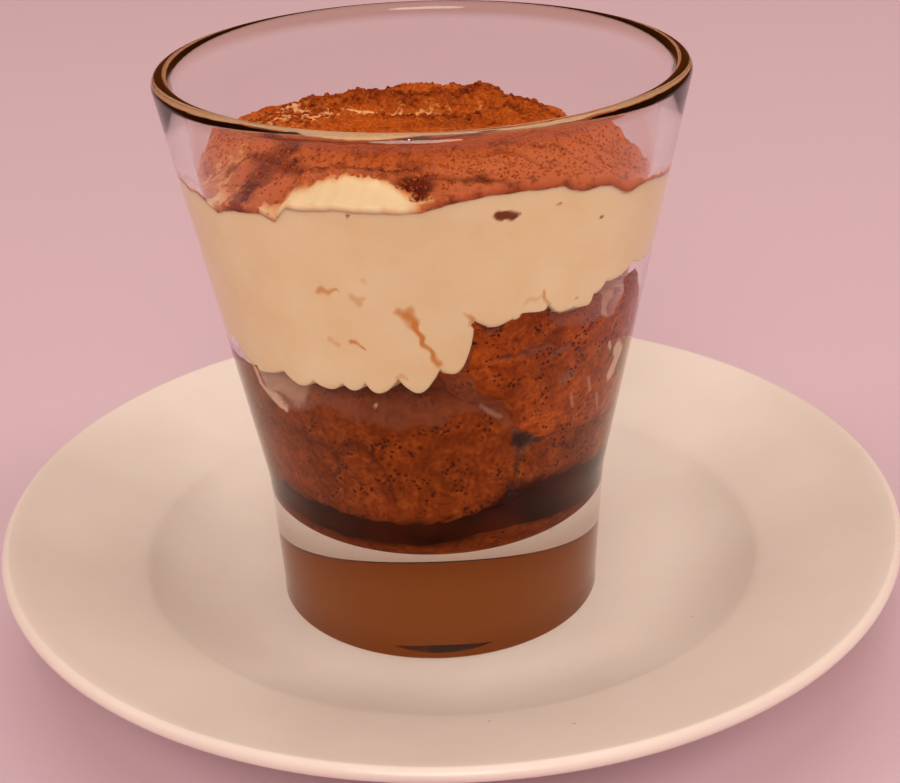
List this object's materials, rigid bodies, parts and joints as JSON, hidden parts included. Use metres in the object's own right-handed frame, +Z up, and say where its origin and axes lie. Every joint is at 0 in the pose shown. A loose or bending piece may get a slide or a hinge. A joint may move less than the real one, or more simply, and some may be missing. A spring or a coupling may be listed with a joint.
{
  "type": "tiramisu in a glass on a plate",
  "caption": "Layered tiramisu of coffee-soaked sponge, mascarpone cream and cocoa in a heavy-based conical tumbler standing in the well of a round plate.",
  "frame": {"origin": "middle of the plate's foot ring on the table", "axes": "+Z up out of the glass, -Y towards the side with the cream's bare fold, +X to its right"},
  "size_m": [0.16, 0.16, 0.1013],
  "materials": {
    "porcelain": "gloss",
    "glass": "polished",
    "sponge": "matte",
    "coffee": "gloss",
    "cream": "satin",
    "cocoa": "matte"
  },
  "bodies": {
    "root": {"plate": "porcelain", "glass": "glass", "sponge_bottom": "sponge", "sponge_front": "sponge", "sponge_right_low": "sponge", "sponge_right_high": "sponge", "sponge_back_left": "sponge", "sponge_back_right": "sponge", "coffee": "coffee", "cream": "cream", "cocoa": "cocoa"}
  },
  "joints": []
}
